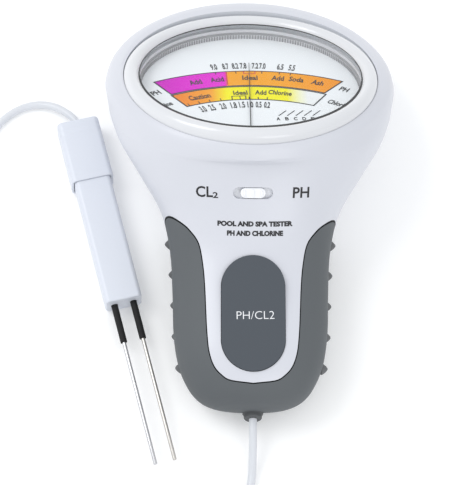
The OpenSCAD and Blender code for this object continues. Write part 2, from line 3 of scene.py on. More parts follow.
import bmesh
import bpy
from mathutils import Matrix, Vector
from mathutils.bvhtree import BVHTree


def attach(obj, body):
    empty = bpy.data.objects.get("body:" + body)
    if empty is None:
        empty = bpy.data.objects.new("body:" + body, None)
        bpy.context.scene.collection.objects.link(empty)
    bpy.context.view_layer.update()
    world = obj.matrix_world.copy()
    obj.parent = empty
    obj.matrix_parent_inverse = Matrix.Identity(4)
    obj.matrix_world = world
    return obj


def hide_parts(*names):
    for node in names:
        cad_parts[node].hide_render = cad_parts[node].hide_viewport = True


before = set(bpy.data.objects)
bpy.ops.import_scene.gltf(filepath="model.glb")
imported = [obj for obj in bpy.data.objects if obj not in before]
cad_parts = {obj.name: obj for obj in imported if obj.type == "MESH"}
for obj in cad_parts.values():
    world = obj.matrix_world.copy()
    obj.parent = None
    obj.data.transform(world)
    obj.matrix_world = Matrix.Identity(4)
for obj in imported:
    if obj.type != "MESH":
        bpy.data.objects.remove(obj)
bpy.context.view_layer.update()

MM = 0.001

# ---- Camera ----
# It looks down at the tester from above the cord end, a little from the left, and is rolled
# slightly, so the handle runs down the frame.
view_aim = Vector((-6.37, 40.51, 11.18)) * MM
view_distance = 944.4 * MM
view_azimuth = math.radians(-4.5)
view_elevation = math.radians(64.3)
view_roll = math.radians(4.6)

away = Vector((math.sin(view_azimuth) * math.cos(view_elevation),
               -math.cos(view_azimuth) * math.cos(view_elevation), math.sin(view_elevation)))
level = Vector((math.cos(view_azimuth), math.sin(view_azimuth), 0))
upward = away.cross(level)
right = level * math.cos(view_roll) + upward * math.sin(view_roll)
top = upward * math.cos(view_roll) - level * math.sin(view_roll)
camera_data = bpy.data.cameras.new("camera")
camera_data.sensor_fit = "VERTICAL"
camera_data.sensor_height = 24
camera_data.lens = 121.23
camera_data.clip_start = 0.05
camera_data.clip_end = 20
camera = bpy.data.objects.new("camera", camera_data)
camera.matrix_world = Matrix.Translation(view_aim + away * view_distance) @ Matrix(
    (right, top, away)).transposed().to_4x4()
bpy.context.collection.objects.link(camera)
bpy.context.scene.camera = camera


# ---- Floor and light ----
# A white sweep that glows a little like a light table, a broad soft light from the upper left and
# an even white surround.
def deselect():
    if bpy.context.object and bpy.context.object.mode != "OBJECT":
        bpy.ops.object.mode_set(mode="OBJECT")
    bpy.ops.object.select_all(action="DESELECT")


def node_material(name):
    material = bpy.data.materials.new(name)
    material.use_nodes = True
    tree = material.node_tree
    return material, tree, tree.nodes["Principled BSDF"]


def link(tree, source, target):
    tree.links.new(source, target)


deselect()
bpy.ops.mesh.primitive_plane_add(size=6, location=(0, 0, 0))
floor = bpy.context.object
floor.name = "floor"
floor_finish, tree, shader = node_material("floor_white")
shader.inputs["Base Color"].default_value = (0.84, 0.84, 0.84, 1)
shader.inputs["Roughness"].default_value = 0.9
shader.inputs["Emission Color"].default_value = (0.97, 0.985, 1, 1)
shader.inputs["Emission Strength"].default_value = 0.2
floor.data.materials.append(floor_finish)

world = bpy.data.worlds.new("surround")
bpy.context.scene.world = world
world.use_nodes = True
world.node_tree.nodes["Background"].inputs["Color"].default_value = (0.97, 0.985, 1.0, 1)
world.node_tree.nodes["Background"].inputs["Strength"].default_value = 0.93


def soft_light(name, place, size, power):
    data = bpy.data.lights.new(name, "AREA")
    data.shape = "DISK"
    data.size = size
    data.energy = power
    lamp = bpy.data.objects.new(name, data)
    lamp.location = place
    lamp.rotation_euler = (-Vector(place)).to_track_quat("-Z", "Y").to_euler()
    bpy.context.collection.objects.link(lamp)


soft_light("key_light", (-0.9, 0.35, 1.3), 0.9, 7.5)
soft_light("front_light", (0.5, -1.1, 0.9), 0.8, 3)
bpy.context.scene.view_settings.view_transform = "Standard"


# ---- Cord ----
# White PVC two-core cord, 3 mm thick. It leaves the gland, drops to the table, runs into the curly
# stretch, and its outer end comes round to the top of the probe.
def effect_group(name, numbers, outputs):
    group = bpy.data.node_groups.new(name, "ShaderNodeTree")
    group.interface.new_socket("Tone", in_out="INPUT", socket_type="NodeSocketColor")
    for label, value in numbers:
        socket = group.interface.new_socket(label, in_out="INPUT", socket_type="NodeSocketFloat")
        socket.default_value = value
    for label, kind in outputs:
        group.interface.new_socket(label, in_out="OUTPUT", socket_type=kind)
    return group, group.nodes.new("NodeGroupInput"), group.nodes.new("NodeGroupOutput")


def arithmetic(tree, kind, first, second):
    node = tree.nodes.new("ShaderNodeMath")
    node.operation = kind
    for socket, value in zip(node.inputs, (first, second)):
        if isinstance(value, (int, float)):
            socket.default_value = value
        else:
            link(tree, value, socket)
    return node.outputs[0]


def clouds(tree, vector, scale, detail):
    node = tree.nodes.new("ShaderNodeTexNoise")
    node.inputs["Detail"].default_value = detail
    link(tree, vector, node.inputs["Vector"])
    if isinstance(scale, (int, float)):
        node.inputs["Scale"].default_value = scale
    else:
        link(tree, scale, node.inputs["Scale"])
    return node.outputs[0]


SURFACE = (("Colour", "NodeSocketColor"), ("Roughness", "NodeSocketFloat"),
           ("Height", "NodeSocketFloat"))


def surface_group(name, stretch):
    """Slow clouds of tone, a little change of gloss, and the grain of the tool or die as height.
    Stretch draws the grain out along one way."""
    group, given, result = effect_group(
        name, (("Spread", 0.04), ("Gloss", 0.4), ("Grain", 900.0), ("Dust", 0.02)), SURFACE)
    place = group.nodes.new("ShaderNodeTexCoord").outputs["Object"]
    turned = group.nodes.new("ShaderNodeMapping")
    turned.inputs["Scale"].default_value = stretch
    link(group, place, turned.inputs["Vector"])
    slow = clouds(group, place, 26.0, 3.0)
    fine = clouds(group, turned.outputs[0], given.outputs["Grain"], 4.0)
    shift = arithmetic(group, "MULTIPLY", arithmetic(group, "SUBTRACT", slow, 0.5),
                       given.outputs["Spread"])
    grit = arithmetic(group, "MULTIPLY", arithmetic(group, "SUBTRACT", fine, 0.5),
                      given.outputs["Dust"])
    tone = group.nodes.new("ShaderNodeHueSaturation")
    link(group, given.outputs["Tone"], tone.inputs["Color"])
    link(group, arithmetic(group, "ADD", arithmetic(group, "ADD", shift, grit), 1.0),
         tone.inputs["Value"])
    link(group, tone.outputs[0], result.inputs["Colour"])
    link(group, arithmetic(group, "ADD", given.outputs["Gloss"],
                           arithmetic(group, "MULTIPLY", arithmetic(group, "SUBTRACT", fine, 0.5),
                                      0.12)), result.inputs["Roughness"])
    link(group, fine, result.inputs["Height"])
    return group


moulded = surface_group("moulded_plastic", (1, 1, 1))
drawn = surface_group("drawn_metal", (1, 0.05, 1))


def finish_of(name, tone, gloss, group=moulded, spread=0.04, grain=900.0, dust=0.03, depth=0.02,
              metal=0.0, coat=0.0):
    material, tree, shader = node_material(name)
    effect = tree.nodes.new("ShaderNodeGroup")
    effect.node_tree = group
    effect.inputs["Tone"].default_value = (*tone, 1)
    effect.inputs["Spread"].default_value = spread
    effect.inputs["Gloss"].default_value = gloss
    effect.inputs["Grain"].default_value = grain
    effect.inputs["Dust"].default_value = dust
    link(tree, effect.outputs["Colour"], shader.inputs["Base Color"])
    link(tree, effect.outputs["Roughness"], shader.inputs["Roughness"])
    bump = tree.nodes.new("ShaderNodeBump")
    bump.inputs["Strength"].default_value = 0.5
    bump.inputs["Distance"].default_value = depth * MM
    link(tree, effect.outputs["Height"], bump.inputs["Height"])
    link(tree, bump.outputs[0], shader.inputs["Normal"])
    shader.inputs["Metallic"].default_value = metal
    shader.inputs["Coat Weight"].default_value = coat
    shader.inputs["Coat Roughness"].default_value = 0.12
    return material


CORD_R = 1.5


def smooth_mid(p0, p1, p2, p3, t):
    return 0.5 * (2 * p1 + (p2 - p0) * t + (2 * p0 - 5 * p1 + 4 * p2 - p3) * t * t
                  + (3 * p1 - p0 - 3 * p2 + p3) * t * t * t)


def smooth_list(points, steps):
    """A smooth list through the points, with extra steps between each pair."""
    points = [Vector(p) for p in points]
    last = len(points) - 1
    out = []
    for i in range(last):
        for k in range(steps):
            out.append(smooth_mid(points[max(i - 1, 0)], points[i], points[i + 1],
                                  points[min(i + 2, last)], k / steps))
    return out + [points[last]]


curl_turns = 18
curl_steps = 16
curl_r = 6
curl_pitch = 3.6
tail_route = [(0.9, -31.4, 8.5), (0.9, -36, 8.2), (0.9, -42, 6.2), (0.8, -48, 3.4), (0.4, -54, 1.9),
              (-1, -61, 1.5), (-3.6, -67.5, 1.5), (-5.4, -72, 1.5)]
curl_route = []
for step in range(curl_turns * curl_steps + 1):
    turn = 2 * math.pi * step / curl_steps
    curl_route.append((-6 - curl_pitch * step / curl_steps, -76 - curl_r * math.sin(turn),
                       curl_r + CORD_R - curl_r * math.cos(turn)))
lead_route = [(-72.4, -81, 1.5), (-77.5, -86.6, 1.5), (-87, -89, 1.5), (-97, -84, 1.5),
              (-104, -73, 1.5), (-107, -57, 1.5), (-108, -37, 1.5), (-108, -12, 1.5),
              (-108, 13, 1.5), (-108, 38, 1.5), (-108, 58, 1.5), (-106.5, 76, 1.5),
              (-103, 89, 1.5), (-98, 97, 1.5), (-92, 102.3, 1.5), (-86, 104.8, 1.6),
              (-80.5, 104.8, 2.2), (-75.5, 102.8, 3.6), (-70.8, 99.1, 5), (-68.4, 96.4, 5.5),
              (-67.3, 94, 5.5)]
cord_points = smooth_list(tail_route + curl_route + lead_route, 2)
gland_x, gland_y, gland_z = tail_route[0]

cord_curve = bpy.data.curves.new("cord", "CURVE")
cord_curve.dimensions = "3D"
cord_curve.bevel_depth = CORD_R * MM
cord_curve.bevel_resolution = 3
spline = cord_curve.splines.new("POLY")
spline.points.add(len(cord_points) - 1)
for point, place in zip(spline.points, cord_points):
    point.co = (*(place * MM), 1)
spline.use_smooth = True
cord = bpy.data.objects.new("cord", cord_curve)
bpy.context.collection.objects.link(cord)
cord_finish = finish_of("cord_pvc", (0.66, 0.68, 0.72), 0.38, grain=1500.0, coat=0.15)
cord_curve.materials.append(cord_finish)
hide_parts("cord_tail", "cord_curl", "cord_lead")
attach(cord, "case")


# ---- Front and rear housings ----
# Two injection moulded shells in cool white ABS, 2.4 mm thick, parted round the sides. The head
# swells round the dial and the handle is cut back where the soft grip is moulded over it.
stations = [
    [(-29.9, 15), (-29.2, 9.4), 7, 2.2], [(-29.3, 19.5), (-27.4, 4.6), 14, 2.2],
    [(-26.8, 24.2), (-24.2, 1), 19.6, 2.3], [(-21.4, 28.1), (-19.2, -0.6), 23.8, 2.4],
    [(-13, 31), (-11, -0.8), 27.2, 2.5], [(0, 33), (0, -0.8), 29, 2.6],
    [(14, 35), (18, -0.8), 29.5, 2.6], [(27, 38.4), (38, -0.8), 30.5, 2.5],
    [(37, 44.4), (58, -0.8), 34, 2.4], [(44.5, 51), (80, -0.8), 42.2, 2.3],
    [(49.6, 56.6), (104, -0.8), 50.3, 2.2], [(50.2, 59), (129, -0.4), 54.4, 2.1]]
# Rim of the head about the dial's centre: reach and height of the near and far edges, half width
rim = [(51.6, -7.5, 62, -4.4, 56), (51, -5, 61.2, -0.4, 55), (50.4, -3.4, 59.4, 2, 53.2),
       (49.9, -2.4, 56.6, 3.5, 51), (49.6, -2, 53, 4, 49.9)]
DIAL_TILT = math.radians(32.5)
DIAL = Matrix.Translation((0, 98, 39)) @ Matrix.Rotation(-DIAL_TILT, 4, "X")
BUTTON = Matrix.Translation((0.35, 1.2, 32.9)) @ Matrix.Rotation(math.radians(11), 4, "X")
SLOT = Matrix.Translation((0, 42.5, 49.4)) @ Matrix.Rotation(math.radians(39), 4, "X")
BUTTON_W, BUTTON_L, BUTTON_GAP = 23.7, 44, 0.2
WALL = 2.4
GRIP_T = 2
WINDOW_R = 43.1
BEZEL_R = 49
BIG = 400
RING_POINTS = 96
parting_z = 14
parting_slope = math.radians(4.6)


def flat_station(station):
    front, back, half_width, squareness = station
    return Vector((*front, *back, half_width, squareness))


def rim_station(near, near_height, far, far_height, half_width):
    front = DIAL @ Vector((0, -near, near_height))
    back = DIAL @ Vector((0, far, far_height))
    return Vector((front.y, front.z, back.y, back.z, half_width, 2))


def smooth_stations(rows, steps):
    last = len(rows) - 1
    out = []
    for i in range(last):
        for k in range(steps):
            near = [rows[max(i - 1, 0)], rows[i], rows[i + 1], rows[min(i + 2, last)]]
            out.append([smooth_mid(*(row[n] for row in near), k / steps) for n in range(6)])
    return out + [list(rows[last])]


body_sections = (smooth_stations([flat_station(s) for s in stations], 5)
                 + smooth_stations([rim_station(*r) for r in rim], 3))


def signed_power(value, power):
    return math.copysign(abs(value) ** power, value)


def body_ring(section, inset):
    front_y, front_z, back_y, back_z, half_width, squareness = section
    depth = math.hypot(front_y - back_y, front_z - back_z) / 2
    across, along = half_width - inset, depth - inset
    ring = []
    for k in range(RING_POINTS):
        turn = 2 * math.pi * k / RING_POINTS
        x = across * signed_power(math.cos(turn), 2 / squareness)
        w = along * signed_power(math.sin(turn), 2 / squareness)
        ring.append((x, (front_y + back_y) / 2 + (front_y - back_y) / (2 * depth) * w,
                     max((front_z + back_z) / 2 + (front_z - back_z) / (2 * depth) * w, inset)))
    return ring


def skin(name, rings, material):
    """A closed skin through rings of points, in millimetres."""
    count = len(rings[0])
    faces = [list(range(count)), [(len(rings) - 1) * count + k for k in range(count)]]
    for i in range(len(rings) - 1):
        for k in range(count):
            after = (k + 1) % count
            faces.append([i * count + k, i * count + after, (i + 1) * count + after,
                          (i + 1) * count + k])
    mesh = bpy.data.meshes.new(name)
    mesh.from_pydata([Vector(p) * MM for ring in rings for p in ring], [], faces)
    mesh.materials.append(material)
    work = bmesh.new()
    work.from_mesh(mesh)
    bmesh.ops.recalc_face_normals(work, faces=work.faces)
    work.to_mesh(mesh)
    work.free()
    piece = bpy.data.objects.new(name, mesh)
    bpy.context.collection.objects.link(piece)
    return piece


def body_form(name, inset, material):
    return skin(name, [body_ring(s, inset) for s in body_sections
                       if s[4] > 8 + 4 * min(inset, 2.7) or inset == 0], material)


def activate(piece):
    deselect()
    piece.select_set(True)
    bpy.context.view_layer.objects.active = piece


def modify(piece, kind, **settings):
    activate(piece)
    modifier = piece.modifiers.new(kind.lower(), kind)
    for key, value in settings.items():
        setattr(modifier, key, value)
    bpy.ops.object.modifier_apply(modifier=modifier.name)


def carve(piece, tool, operation="DIFFERENCE", keep_tool=False):
    modify(piece, "BOOLEAN", object=tool, operation=operation, solver="EXACT",
           material_mode="TRANSFER")
    if not keep_tool:
        bpy.data.objects.remove(tool)


def prism(name, outline, low, high, place, material):
    """A straight block over an outline; low and high may follow the height along y."""
    deselect()
    bpy.ops.mesh.primitive_circle_add(vertices=len(outline), fill_type="NGON", calc_uvs=False)
    piece = bpy.context.object
    piece.name = name
    for vertex, (x, y) in zip(piece.data.vertices, outline):
        vertex.co = (x, y, 0)
    bpy.ops.object.mode_set(mode="EDIT")
    bpy.ops.mesh.select_all(action="SELECT")
    bpy.ops.mesh.extrude_region_move(TRANSFORM_OT_translate={"value": (0, 0, 1)})
    bpy.ops.mesh.select_all(action="SELECT")
    bpy.ops.mesh.normals_make_consistent(inside=False)
    bpy.ops.object.mode_set(mode="OBJECT")
    for vertex in piece.data.vertices:
        x, y, share = vertex.co
        level = high if share > 0.5 else low
        vertex.co = place @ Vector((x, y, level(y) if callable(level) else level)) * MM
    piece.data.materials.append(material)
    return piece


def block(name, low, high, place, material):
    outline = [(low[0], low[1]), (high[0], low[1]), (high[0], high[1]), (low[0], high[1])]
    return prism(name, outline, low[2], high[2], place, material)


def stadium(width, length, along="y"):
    out = []
    for k in range(64):
        turn = 2 * math.pi * (k + 0.5) / 64
        x, y = width / 2 * math.cos(turn), width / 2 * math.sin(turn)
        y += math.copysign((length - width) / 2, y)
        out.append((x, y) if along == "y" else (-y, x))
    return out


def circle(radius, count=128):
    return [(radius * math.cos(2 * math.pi * k / count), radius * math.sin(2 * math.pi * k / count))
            for k in range(count)]


def parting(y):
    return parting_z - math.tan(parting_slope) * y


HERE = Matrix.Identity(4)
shell_finish = finish_of("shell_abs", (0.615, 0.628, 0.68), 0.36, grain=1400.0, dust=0.02, coat=0.1)
inner_finish = finish_of("shell_inside", (0.6, 0.62, 0.66), 0.55, grain=500.0)
# Near-black painted shade, not a part's colour. It lines the recessed shell under the grip and the
# walls cut along the tongue, the parting line and the probe's rod holes, so that those narrow gaps
# read dark.
gap_painted_shade = finish_of("seam_shadow", (0.012, 0.013, 0.015), 0.8, grain=800.0)

tongue = [(0, -24.1), (8, -23.1), (11.5, -21.2), (14.4, -17.9), (16.2, -12.6), (17, -5),
          (17.4, 3), (17.8, 12), (18.5, 20), (20.1, 28.2), (23.6, 33.6), (27.4, 37.6),
          (33, 42.6), (42, 48)]
tongue_shift = 0.35
rear_grip_y = 46


def tongue_outline(gap):
    """The tongue's outline, grown by a gap and carried on past the head."""
    half = smooth_list([(x, y, 0) for x, y in tongue], 4)
    grown = []
    for i, p in enumerate(half):
        ahead = half[min(i + 1, len(half) - 1)] - half[max(i - 1, 0)]
        if i == 0:
            ahead = Vector((1, 0, 0))
        ahead.normalize()
        grown.append((p.x + gap * ahead.y, p.y - gap * ahead.x))
    right_side = [(x + tongue_shift, y) for x, y in grown]
    left_side = [(tongue_shift - x, y) for x, y in reversed(grown[1:])]
    return [(-90, 50 - gap), *left_side, *right_side, (90, 50 - gap), (90, BIG), (-90, BIG)]


def cavities():
    low_block = block("low_block", (-BIG, -BIG, -BIG), (BIG, BIG, -8.5), DIAL, inner_finish)
    handle = body_form("handle_hollow", GRIP_T + WALL, inner_finish)
    handle.data.transform(Matrix.Translation((0, WALL * MM, 0)))
    carve(handle, low_block, "INTERSECT", keep_tool=True)
    head = body_form("head_hollow", WALL, inner_finish)
    carve(head, low_block, "INTERSECT")
    carve(head, block("head_part", (-BIG, rear_grip_y + GRIP_T, -BIG), (BIG, BIG, BIG), HERE,
                      inner_finish), "INTERSECT")
    carve(handle, head, "UNION")
    return handle


hollow = cavities()
gap_half = 0.09
core_end = 60
front_housing = body_form("front_shell", 0, shell_finish)
carve(front_housing, prism("tongue_block", tongue_outline(0), lambda y: parting(y) + gap_half, 120,
                           HERE, gap_painted_shade), "INTERSECT")
core = body_form("front_core", GRIP_T, gap_painted_shade)
carve(core, block("front_half", (-BIG, -BIG, 0), (BIG, core_end, BIG),
                  Matrix.Translation((0, 0, parting_z + gap_half))
                  @ Matrix.Rotation(-parting_slope, 4, "X"), gap_painted_shade), "INTERSECT")
carve(front_housing, core, "UNION")
carve(front_housing, hollow, keep_tool=True)
for reach, low in ((BEZEL_R + 0.1, -3), (WINDOW_R + 1.5, -6), (WINDOW_R - 1.6, -20)):
    carve(front_housing, prism("dial_bore", circle(reach), low, 20, DIAL, inner_finish))
carve(front_housing, prism("button_bore", stadium(BUTTON_W + 2 * BUTTON_GAP,
                                                  BUTTON_L + 2 * BUTTON_GAP),
                           -6, 20, BUTTON, shell_finish))
carve(front_housing, prism("button_room", stadium(BUTTON_W + 4, BUTTON_L + 4), -16, -WALL, BUTTON,
                           inner_finish))
carve(front_housing, prism("slot_bore", stadium(4.5, 14.9, "x"), -4, 10, SLOT, shell_finish))

rear_housing = body_form("rear_shell", 0, shell_finish)
carve(rear_housing, prism("head_block", [(-BIG, rear_grip_y + 0.2), (BIG, rear_grip_y + 0.2),
                                         (BIG, BIG), (-BIG, BIG)],
                          -10, lambda y: parting(y) - gap_half, HERE, gap_painted_shade), "INTERSECT")
core = body_form("rear_core", GRIP_T, gap_painted_shade)
carve(core, block("rear_half", (-BIG, -BIG, -BIG), (BIG, core_end, 0),
                  Matrix.Translation((0, 0, parting_z - gap_half))
                  @ Matrix.Rotation(-parting_slope, 4, "X"), gap_painted_shade), "INTERSECT")
carve(rear_housing, core, "UNION")
carve(rear_housing, hollow)
# Place of each screw and height of the seat under its head
screw_places = [(-19, -12, 4.6), (19, -12, 4.6), (-23, 40, 6.6), (23, 40, 6.6), (-29, 98, 4.9),
                (29, 98, 4.9)]


def screw_bore(x, y, height, material):
    return prism("screw_bore", [(x + u, y + v) for u, v in circle(3, 32)], -1, height, HERE,
                 material)


for x, y, seat in screw_places:
    carve(rear_housing, screw_bore(x, y, seat, inner_finish))


def finished(piece, name, body, nodes=(), smooth=30):
    piece.name = name
    piece.data.name = name
    activate(piece)
    bpy.ops.object.shade_smooth_by_angle(angle=math.radians(smooth))
    if nodes:
        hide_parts(*nodes)
    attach(piece, body)
    return piece


finished(front_housing, "front_housing_shell", "case", ("front_housing",))
finished(rear_housing, "rear_housing_shell", "case", ("rear_housing",))

# ---- Soft grip ----
# Grey soft-touch rubber, 2 mm thick, moulded over the handle round the white tongue. Each side has
# a row of five pointed nubs for the fingers.
grip_finish = finish_of("soft_grip", (0.096, 0.106, 0.114), 0.66, spread=0.08, grain=1600.0,
                        dust=0.08, depth=0.05)
nub_finish = finish_of("grip_nub", (0.115, 0.12, 0.125), 0.6, grain=1600.0, dust=0.08)
seam_gap = 0.4
grip = body_form("grip", 0, grip_finish)
carve(grip, body_form("grip_inside", GRIP_T, grip_finish))
carve(grip, prism("tongue_room", tongue_outline(seam_gap), lambda y: parting(y) - 0.05, 120, HERE,
                  grip_finish))
carve(grip, block("head_room", (-BIG, rear_grip_y - 0.15, -BIG), (BIG, BIG, 14), HERE, grip_finish))
carve(grip, prism("gland_bore", circle(4.1, 48), -30, 40, Matrix.Translation(
    (gland_x, -30, gland_z)) @ Matrix.Rotation(math.radians(90), 4, "X"), grip_finish))
for x, y, seat in screw_places[:4]:
    carve(grip, screw_bore(x, y, 10, grip_finish))
nub_tips = (28.7, 30.1, 30.7, 31.4, 32.9)
nub_size = (2.3, 2.2, 2.6)
nub_shift = 0.4
first_nub_y, nub_pitch, nub_z = -12.6, 12.85, 12.5
nub_places = [(side, row) for side in (-1, 1) for row in range(5)]
nubs = []
for side, row in nub_places:
    deselect()
    bpy.ops.mesh.primitive_uv_sphere_add(segments=24, ring_count=14, radius=MM)
    nub = bpy.context.object
    for vertex in nub.data.vertices:
        reach = abs(vertex.co.x / MM)
        pinch = 1 - 0.45 * reach
        vertex.co.y *= pinch
        vertex.co.z *= pinch
    nub.data.transform(Matrix.Translation(
        Vector((nub_shift + side * (nub_tips[row] - nub_size[0]), first_nub_y + nub_pitch * row,
                nub_z)) * MM) @ Matrix.Diagonal((*nub_size, 1)))
    nub.data.materials.append(nub_finish)
    nubs.append(nub)
deselect()
for nub in nubs:
    nub.select_set(True)
bpy.context.view_layer.objects.active = nubs[0]
bpy.ops.object.join()
finished(nubs[0], "grip_nubs", "case")
finished(grip, "soft_grip", "case", ("grip_boot",))


# ---- Bezel ----
# A glossy white ABS ring with a half-round crown, snapped over the edge of the window.
def turned(name, profile, place, material, steps=128):
    """A closed outline of (radius, height) spun round its axis."""
    deselect()
    bpy.ops.mesh.primitive_circle_add(vertices=len(profile), radius=MM)
    piece = bpy.context.object
    piece.name = name
    for vertex, (radius, height) in zip(piece.data.vertices, profile):
        vertex.co = (radius * MM, 0, height * MM)
    bpy.ops.object.mode_set(mode="EDIT")
    bpy.ops.mesh.select_all(action="SELECT")
    bpy.ops.mesh.spin(steps=steps, angle=2 * math.pi, center=(0, 0, 0), axis=(0, 0, 1))
    bpy.ops.mesh.select_all(action="SELECT")
    bpy.ops.mesh.remove_doubles(threshold=1e-6)
    bpy.ops.mesh.normals_make_consistent(inside=False)
    bpy.ops.object.mode_set(mode="OBJECT")
    piece.data.transform(Matrix.Scale(MM, 4) @ place @ Matrix.Scale(1 / MM, 4))
    piece.data.materials.append(material)
    return piece


bezel_finish = finish_of("bezel_gloss", (0.68, 0.69, 0.715), 0.22, spread=0.02, grain=1400.0,
                         dust=0.01, coat=0.4)
crown_r = 3
crown = [(BEZEL_R - crown_r + crown_r * math.cos(math.radians(a)),
          crown_r * math.sin(math.radians(a))) for a in range(0, 166, 8)]
bezel = turned("bezel", [(43.15, 0.9), (44.5, 0.9), (44.5, -3), (BEZEL_R - 0.2, -3),
                         (BEZEL_R, -2.8), *crown], DIAL, bezel_finish)
finished(bezel, "bezel_cover", "case", ("bezel_ring",))

# ---- Window, its seal and the inner wall ----
# Clear acrylic disc on a black seal, whose inner edge runs off centre into a crescent of painted
# shade that is widest at the near edge. Below it stands a white wall with two steps and fine
# upright ribs, which carries the edge of the dial; the middle step and the ribs are painted darker
# as shade.
lens_finish, tree, shader = node_material("window_acrylic")
shader.inputs["Base Color"].default_value = (0.98, 0.99, 1, 1)
shader.inputs["Metallic"].default_value = 1
place = tree.nodes.new("ShaderNodeTexCoord").outputs["Object"]
haze = arithmetic(tree, "MULTIPLY", clouds(tree, place, 60.0, 3.0), 0.1)
link(tree, haze, shader.inputs["Roughness"])
clear = tree.nodes.new("ShaderNodeBsdfTransparent")
clear.inputs["Color"].default_value = (0.97, 0.98, 0.985, 1)
mirror = tree.nodes.new("ShaderNodeFresnel")
mirror.inputs["IOR"].default_value = 1.2
seen = arithmetic(tree, "SUBTRACT", 1.0, arithmetic(
    tree, "MAXIMUM", tree.nodes.new("ShaderNodeLightPath").outputs["Is Shadow Ray"],
    tree.nodes.new("ShaderNodeNewGeometry").outputs["Backfacing"]))
mix = tree.nodes.new("ShaderNodeMixShader")
link(tree, arithmetic(tree, "MULTIPLY", mirror.outputs[0], seen), mix.inputs[0])
link(tree, clear.outputs[0], mix.inputs[1])
link(tree, shader.outputs[0], mix.inputs[2])
link(tree, mix.outputs[0], tree.nodes["Material Output"].inputs["Surface"])

seal_and_painted_shade_finish = finish_of("window_seal_and_painted_shade", (0.015, 0.015, 0.017), 0.45, grain=900.0)
seal = turned("seal", [(42.75, 0.82), (43.15, 0.82), (43.15, 0.98), (42.75, 0.98)], DIAL,
              seal_and_painted_shade_finish)
# Pull the seal's inner edge off centre, so that the black ring widens into a crescent of painted
# shade at the near edge.
inward = DIAL.inverted()
for vertex in seal.data.vertices:
    spot = inward @ (vertex.co / MM)
    if math.hypot(spot.x, spot.y) < 42.9:
        spot.y = spot.y * 0.967 + 1.15
        vertex.co = (DIAL @ spot) * MM
finished(seal, "window_seal_and_painted_shade", "case", ("lens_gasket",))

wall_finish = finish_of("wall_white", (0.66, 0.65, 0.67), 0.5, grain=700.0)
# Painted shade: the wall's middle step and the fine ribs take this darker copy of the wall's white.
wall_painted_shade = finish_of("wall_shade", (0.34, 0.335, 0.345), 0.5, grain=700.0)
wall_ring = turned("wall", [(44.3, -5.2), (42.45, -5.2), (42.45, -3.45), (42.65, -3.35),
                            (42.65, -2.75), (42.95, -2.65), (42.95, -1.4), (44.3, -1.4)], DIAL,
                   wall_finish)
wall_ring.data.materials.append(wall_painted_shade)
for face in wall_ring.data.polygons:
    spot = inward @ (face.center / MM)
    if -3.5 < spot.z < -2.6 and math.hypot(spot.x, spot.y) < 43:
        face.material_index = 1
finished(wall_ring, "dial_wall_ring", "case", ("dial_wall",))

rib_count = 240
deselect()
bpy.ops.mesh.primitive_cube_add(size=1)
rib = bpy.context.object
rib.data.transform(Matrix.Translation((42.32, 0, -4.35)) @ Matrix.Diagonal((0.34, 0.5, 1.6, 1)))
modify(rib, "BEVEL", width=0.08, segments=1)
rib_mesh = bmesh.new()
for k in range(rib_count):
    one = rib.data.copy()
    one.transform(Matrix.Rotation(2 * math.pi * k / rib_count, 4, "Z"))
    rib_mesh.from_mesh(one)
    bpy.data.meshes.remove(one)
rib_mesh.to_mesh(rib.data)
rib_mesh.free()
rib.data.transform(Matrix.Scale(MM, 4) @ DIAL)
rib.data.materials.append(wall_painted_shade)
finished(rib, "dial_wall_ribs", "case")

# ---- Dial print ----
# The dial is a white card. Two curved scales are printed on it, the upper for pH and the lower for
# chlorine, with their words and numbers in black.
SCALE_Y = -65
PRINT_Z = -5.2
PRINT = (DIAL @ Matrix.Rotation(math.radians(1.6), 4, "Z") @ Matrix.Translation((0, -0.7, 0)))


def polar(radius, degrees):
    turn = math.radians(degrees)
    return radius * math.sin(turn), SCALE_Y + radius * math.cos(turn)


def ramp_finish(name, stops):
    """Printed ink whose colour runs along x, from -40 to 40 mm."""
    material, tree, shader = node_material(name)
    place = tree.nodes.new("ShaderNodeTexCoord").outputs["Object"]
    mapping = tree.nodes.new("ShaderNodeMapping")
    mapping.inputs["Location"].default_value = (0.5, 0, 0)
    mapping.inputs["Scale"].default_value = (12.5, 12.5, 12.5)
    link(tree, place, mapping.inputs["Vector"])
    split = tree.nodes.new("ShaderNodeSeparateXYZ")
    link(tree, mapping.outputs[0], split.inputs[0])
    ramp = tree.nodes.new("ShaderNodeValToRGB")
    while len(ramp.color_ramp.elements) < len(stops):
        ramp.color_ramp.elements.new(0.5)
    for element, (x, colour) in zip(ramp.color_ramp.elements, stops):
        element.position = (x + 40) / 80
        element.color = (*colour, 1)
    link(tree, split.outputs["X"], ramp.inputs[0])
    effect = tree.nodes.new("ShaderNodeGroup")
    effect.node_tree = moulded
    effect.inputs["Spread"].default_value = 0.06
    effect.inputs["Gloss"].default_value = 0.45
    effect.inputs["Grain"].default_value = 2500.0
    effect.inputs["Dust"].default_value = 0.12
    shader.inputs["Specular IOR Level"].default_value = 0.1
    link(tree, ramp.outputs[0], effect.inputs["Tone"])
    link(tree, effect.outputs["Colour"], shader.inputs["Base Color"])
    link(tree, effect.outputs["Roughness"], shader.inputs["Roughness"])
    return material


